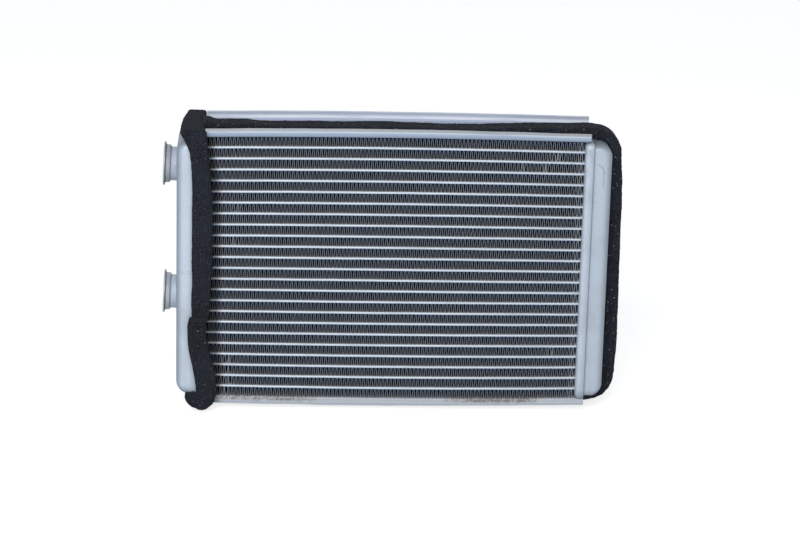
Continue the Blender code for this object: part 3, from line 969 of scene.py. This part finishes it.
def rise(value, low, high):
    """0 below low and 1 above high, with a smooth rise between them."""
    share = np.clip((value - low) / (high - low), 0, 1)
    return share * share * (3 - 2 * share)


def bell(value, middle, width):
    """A bell curve: 1 at the middle, and less by the square of the distance in widths."""
    return np.exp(-((value - middle) / width) ** 2)


def stretched_strip(x, y, z):
    """The top run's left end is pushed further left, up against the upper band, and stands a little
    higher. The run has a low wave and a shallow dip, each a bell curve. The upper right corner is
    fuller, the right side bulges between its ends, and the lower right corner sags."""
    top = rise(z, 0.07, 0.074)
    near_end = rise(-x, 0.098, 0.106) * top
    left_run = (1 - rise(x, -0.09, -0.068)) * top * rise(z, 0.0785, 0.0797)
    from_corner = np.hypot(x - 0.112, z - 0.066)
    corner = rise(x, 0.108, 0.124) * rise(z, 0.058, 0.074) * rise(from_corner, 0.01, 0.016)
    sag = rise(x, 0.108, 0.114) * rise(-z, 0.074, 0.079)
    outer = rise(x, 0.126, 0.13)
    side = rise(-z, -0.058, -0.05) * (1 - rise(-z, 0.05, 0.058)) * outer
    shoulder = bell(z, 0.067, 0.007) * outer
    low_corner = bell(z, -0.064, 0.007) * rise(x, 0.118, 0.124)
    moved_x = x - strip_end_push * near_end + strip_corner_push * corner + strip_side_push * side
    moved_x = moved_x - strip_shoulder_pull * shoulder - strip_low_pull * low_corner
    waves = (strip_wave * bell(x, 0.11, 0.006) - strip_dip * bell(x, 0.037, 0.024)) * top
    moved_z = z + strip_left_rise * left_run + 0.6 * strip_corner_push * corner + waves
    return moved_x, y, moved_z - strip_bottom_sag * sag


strip_finish = foam_look("strip_foam", 0.4)
fleck_x, _, fleck_z = strip_finish.core_axes(fleck_middle)
fleck_tall = fleck_z * 0.6
fleck_square = (fleck_x * fleck_x + fleck_tall * fleck_tall) * 1000000
tan_fleck = 1 - (fleck_square + strip_finish.noise(900, 3) * 0.8).step(0.7, 1.2)
strip_finish.lay(tan_fleck, (0.4, 0.3, 0.2))
foam_piece("perimeter_foam_strip", "perimeter_seal", strip_finish, 14, stretched_strip)

# Foam bands
# Two bands of the same foam fold round the left header. The upper one is pulled tight down the
# tank from its wide top, and the thicker lower one starts under it and folds in under the tank.
band_skew = 0.0032
band_half_depth = 0.027
band_top_drop = 0.0005
shoulder_push = 0.0008
waist_pull = 0.0007
notch_depth = 0.0022
notch_place = 0.0057
rear_right_pull = 0.0011
head_lift = 0.0027
head_corner_in = 0.0009
head_corner_out = 0.0013
hip_pull = 0.0003
bowl_lift = 0.0017
bowl_left_lift = 0.0005
bowl_push = 0.0012
lip_push = 0.0003
lip_rise = 0.0015
lip_inner_rise = 0.0011
crease_height = -0.0309


def skewed_top(x, y, z):
    """The upper band's top is cut askew: its left edge swings right along a cubic towards the rear,
    and its right edge has a bell-shaped notch at the strip's end. The side below is pulled in."""
    top = rise(z, 0.068, 0.08)
    left = np.clip((-0.108 - x) / 0.0144, 0, 1)
    rear = np.clip((y + band_half_depth) / (2 * band_half_depth), 0, 1)
    shoulder_height = rise(z, 0.0765, 0.0815)
    shoulder = shoulder_height * shoulder_push * (1 - rear)
    waist = (1 - shoulder_height) * rise(z, -0.025, -0.01) * waist_pull
    right_pull = bell(y, notch_place, 0.005) * notch_depth + rear_right_pull * rise(y, 0.008, 0.018)
    moved = top * (band_skew * left * rear ** 3 - (1 - left) * right_pull)
    return x + moved + left * (waist - shoulder), y, z - band_top_drop * top


def bowed_under(x, y, z):
    """The lower band: its head laps up over the upper band, with a rounded left and a full right
    corner, its waist is narrower, and its bowl is shallower, rounder and higher at the lip."""
    left = rise(-x, 0.108, 0.114)
    right = rise(x, -0.109, -0.103)
    head = rise(z, -0.037, -0.031) * rise(-y, 0.0262, 0.0274)
    crown = rise(z, -0.0335, -0.0305)
    waist = rise(-z, 0.042, 0.049) * (1 - rise(-z, 0.055, 0.061)) * right
    hip = rise(-z, 0.05, 0.06) * (1 - rise(-z, 0.07, 0.076)) * left
    bowl = rise(-z, 0.076, 0.0868)
    far = rise(-x, 0.1145, 0.1165)
    lip = rise(-x, 0.1125, 0.1135) * rise(z, -0.0795, -0.0772) * (1 - rise(z, -0.0765, -0.075))
    moved = head_corner_in * crown * left + head_corner_out * crown * right - waist_pull * waist
    moved = moved + hip_pull * hip + bowl_push * bowl * right - lip_push * lip * far
    lift = (bowl_lift + bowl_left_lift * left) * bowl
    return x + moved, y, z + lift + head_lift * head + (lip_rise + lip_inner_rise * (1 - far)) * lip


band_finish = foam_look("band_foam", 0.03)
foam_piece("upper_foam_band", "left_seal_upper", band_finish, 16, skewed_top)

lower_finish = foam_look("lower_band_foam", 0.03)
above_crease = lower_finish.core_axes()[2] - crease_height
# Painted light on the top face just above the crease, and a painted shadow along the crease.
lower_finish.lay(above_crease.band(0.0006, 0.003, 0.0004) * 0.12, (0.045, 0.05, 0.06))
lower_finish.lay(above_crease.band(-0.0002, 0.0001, 0.0003) * 0.6, (0.005, 0.006, 0.008))
foam_piece("lower_foam_band", "left_seal_lower", lower_finish, 14, bowed_under)

# Floor and backdrop
# A plain pale floor, which is a stage and no part of the model. It shows white to the camera and in
# the metal, and keeps the soft shadow.
half_floor = 6.0
floor_mesh = bpy.data.meshes.new("studio_floor")
floor_mesh.from_pydata([(-half_floor, -half_floor, 0), (half_floor, -half_floor, 0),
                        (half_floor, half_floor, 0), (-half_floor, half_floor, 0)], [], [(0, 1, 2, 3)])
floor = placed("studio_floor", floor_mesh)


def seen(board):
    """1 for a ray that comes from the camera, from gloss or through glass, and 0 for the others."""
    rays = board.node("ShaderNodeLightPath")
    share = Field(board, rays.outputs["Is Camera Ray"])
    for ray in ("Is Glossy Ray", "Is Transmission Ray"):
        share = share.maths("MAXIMUM", share, Field(board, rays.outputs[ray]))
    return share


floor_finish = Finish("studio_floor", (0.8, 0.8, 0.8), 0.9)
floor_plain = floor_finish.shader.outputs[0]
floor_glow = floor_finish.node("ShaderNodeEmission", {}, {"Color": (1, 1, 1, 1), "Strength": 0.75})
floor_lit = floor_finish.node("ShaderNodeAddShader", {}, {0: floor_plain, 1: floor_glow.outputs[0]})
floor_mix = floor_finish.node("ShaderNodeMixShader", {},
                              {0: seen(floor_finish), 1: floor_plain, 2: floor_lit.outputs[0]})
floor_finish.feed(floor_finish.tree.nodes["Material Output"].inputs["Surface"], floor_mix.outputs[0])
floor_mesh.materials.append(floor_finish.material)

# Light
# Two large soft lamps, the main one from the upper left in front, and an even pale surrounding.
# Each lamp has a place, a size and a power, and faces a point near the middle of the core.
lamps = {"key_lamp": ((-0.36, -1.4, 0.95), 0.9, 17.5), "fill_lamp": ((0.8, -1.7, 0.5), 1.2, 4.0)}
lamp_aim = np.array((0.0, 0.0, 0.08))
for lamp_name, (lamp_place, lamp_size, lamp_power) in lamps.items():
    lamp_data = bpy.data.lights.new(lamp_name, "AREA")
    lamp_data.size = lamp_size
    lamp_data.energy = lamp_power
    lamp = placed(lamp_name, lamp_data)
    away = np.array(lamp_place) - lamp_aim
    heading = math.atan2(away[0], -away[1])
    slope = math.atan2(math.hypot(away[0], away[1]), away[2])
    lamp.matrix_world = (Matrix.Translation(lamp_place) @ Matrix.Rotation(heading, 4, "Z")
                         @ Matrix.Rotation(slope, 4, "X"))

world = bpy.data.worlds.new("studio")
world.use_nodes = True
bpy.context.scene.world = world
studio = Board(world.node_tree)
studio_light = studio.node("ShaderNodeBackground", {}, {"Color": (0.82, 0.91, 1.0, 1), "Strength": 0.18})
studio_white = studio.node("ShaderNodeBackground", {}, {"Color": (1, 1, 1, 1), "Strength": 1.0})
studio_mix = studio.node("ShaderNodeMixShader", {},
                         {0: seen(studio), 1: studio_light.outputs[0], 2: studio_white.outputs[0]})
studio.feed(world.node_tree.nodes["World Output"].inputs["Surface"], studio_mix.outputs[0])
